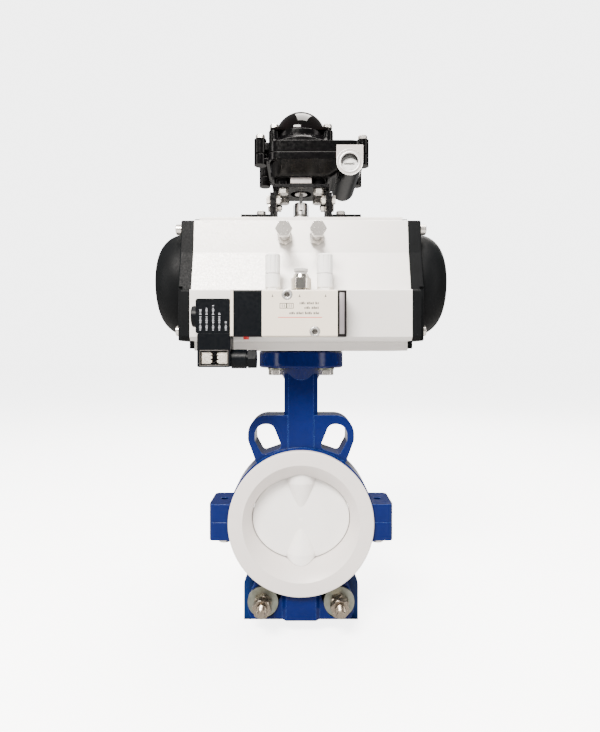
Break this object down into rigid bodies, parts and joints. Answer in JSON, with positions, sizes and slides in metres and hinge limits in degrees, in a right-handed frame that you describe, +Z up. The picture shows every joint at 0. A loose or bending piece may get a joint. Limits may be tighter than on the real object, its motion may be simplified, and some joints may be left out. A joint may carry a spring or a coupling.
{
  "type": "pneumatic actuated valve",
  "caption": "Lined wafer butterfly valve turned a quarter by a rack and pinion air actuator, with a side-mounted solenoid valve and a domed limit-switch box on top.",
  "frame": {"origin": "centre of the valve disc, where the pipe axis crosses the stem axis", "axes": "+Z up along the stem towards the actuator, Y along the pipe with -Y on the solenoid valve's side, X along the actuator's cylinder"},
  "size_m": [0.286, 0.1666, 0.5326],
  "materials": {
    "valve_enamel": "gloss enamel over cast iron",
    "support_enamel": "gloss enamel over steel plate",
    "ptfe": "satin moulded fluoropolymer",
    "stem_steel": "turned stainless steel",
    "fastener_steel": "bright stainless steel",
    "zinc_plate": "dull zinc plate",
    "elastomer": "moulded rubber",
    "bearing_polymer": "filled bearing polymer",
    "anodised_body": "bead-blasted hard anodised extrusion",
    "cast_alloy": "die-cast alloy",
    "cap_powder": "fine textured powder coat",
    "pinion_steel": "nickel-plated steel",
    "cream_enamel": "satin cream enamel",
    "black_moulding": "fine textured moulding",
    "end_cover_grey": "satin moulding",
    "signal_red": "gloss moulding",
    "spool_alloy": "ground",
    "nickel_brass": "nickel plate over brass",
    "collar_grey": "moulded",
    "white_moulding": "translucent white moulding",
    "box_enamel": "gloss black enamel over die-casting",
    "bracket_enamel": "black enamel over steel sheet",
    "smoked_dome": "smoked clear moulding",
    "indicator_yellow": "moulded",
    "switch_plastic": "moulded",
    "plug_alloy": "cast alloy"
  },
  "bodies": {
    "valve_frame": {"actuator_body": "anodised_body", "body_bolts": "fastener_steel", "box_base": "box_enamel", "box_bracket": "bracket_enamel", "box_cover": "box_enamel", "box_gasket": "elastomer", "box_screws": "fastener_steel", "bracket_feet": "bracket_enamel", "bracket_screws": "fastener_steel", "cap_gaskets": "elastomer", "cap_screws": "fastener_steel", "coil": "black_moulding", "coil_nut": "black_moulding", "conduit_plug": "plug_alloy", "connector": "black_moulding", "connector_gland": "black_moulding", "cover_screws": "fastener_steel", "flange_bolts": "fastener_steel", "flange_washers": "zinc_plate", "indicator_dome": "smoked_dome", "inlet_fitting": "nickel_brass", "left_end_cap": "cap_powder", "lower_body": "valve_enamel", "microswitches": "switch_plastic", "pilot_block": "black_moulding", "pilot_plate": "cream_enamel", "pinion_bearings": "bearing_polymer", "port_gasket": "elastomer", "right_end_cap": "cap_powder", "seat_backing": "elastomer", "seat_liner": "ptfe", "silencers": "white_moulding", "solenoid_body": "cream_enamel", "solenoid_end_cover": "end_cover_grey", "solenoid_screws": "fastener_steel", "stem_bushes": "bearing_polymer", "stem_packing": "elastomer", "stop_bolts": "fastener_steel", "stop_nuts": "fastener_steel", "support_bracket": "support_enamel", "support_nuts": "fastener_steel", "support_studs": "fastener_steel", "support_washers": "zinc_plate", "upper_body": "valve_enamel"},
    "drive_train": {"disc_stem": "stem_steel", "disc_cover": "ptfe", "pinion": "pinion_steel", "pinion_clip": "pinion_steel", "stop_cam": "cast_alloy", "switch_shaft": "pinion_steel", "switch_cams": "switch_plastic", "indicator_rotor": "indicator_yellow"},
    "left_piston": {"left_piston": "cast_alloy", "left_piston_rings": "bearing_polymer"},
    "right_piston": {"right_piston": "cast_alloy", "right_piston_rings": "bearing_polymer"},
    "spool": {"valve_spool": "spool_alloy"},
    "plunger": {"coil_plunger": "spool_alloy"},
    "override_button": {"override_button": "signal_red"},
    "release_collar": {"release_collar": "collar_grey"}
  },
  "joints": [
    {"name": "drive_turn", "type": "hinge", "parent": "valve_frame", "child": "drive_train", "pos_m": [0, 0, 0], "axis": [0, 0, 1], "range_deg": [0, 90]},
    {"name": "left_piston_slide", "type": "slide", "parent": "valve_frame", "child": "left_piston", "axis": [-1, 0, 0], "range_m": [0, 0.0316]},
    {"name": "right_piston_slide", "type": "slide", "parent": "valve_frame", "child": "right_piston", "axis": [1, 0, 0], "range_m": [0, 0.0316]},
    {"name": "spool_slide", "type": "slide", "parent": "valve_frame", "child": "spool", "axis": [1, 0, 0], "range_m": [0, 0.0035], "stiffness_N_per_m": 300},
    {"name": "plunger_slide", "type": "slide", "parent": "valve_frame", "child": "plunger", "axis": [-1, 0, 0], "range_m": [0, 0.0015], "stiffness_N_per_m": 300},
    {"name": "override_press", "type": "slide", "parent": "valve_frame", "child": "override_button", "axis": [0, 0, 1], "range_m": [0, 0.0015], "stiffness_N_per_m": 400},
    {"name": "collar_press", "type": "slide", "parent": "valve_frame", "child": "release_collar", "axis": [0, 0, -1], "range_m": [0, 0.001], "stiffness_N_per_m": 600}
  ],
  "couplings": [
    {"joint": "left_piston_slide", "follows": "drive_turn", "m_per_rad": 0.02},
    {"joint": "right_piston_slide", "follows": "drive_turn", "m_per_rad": 0.02}
  ]
}
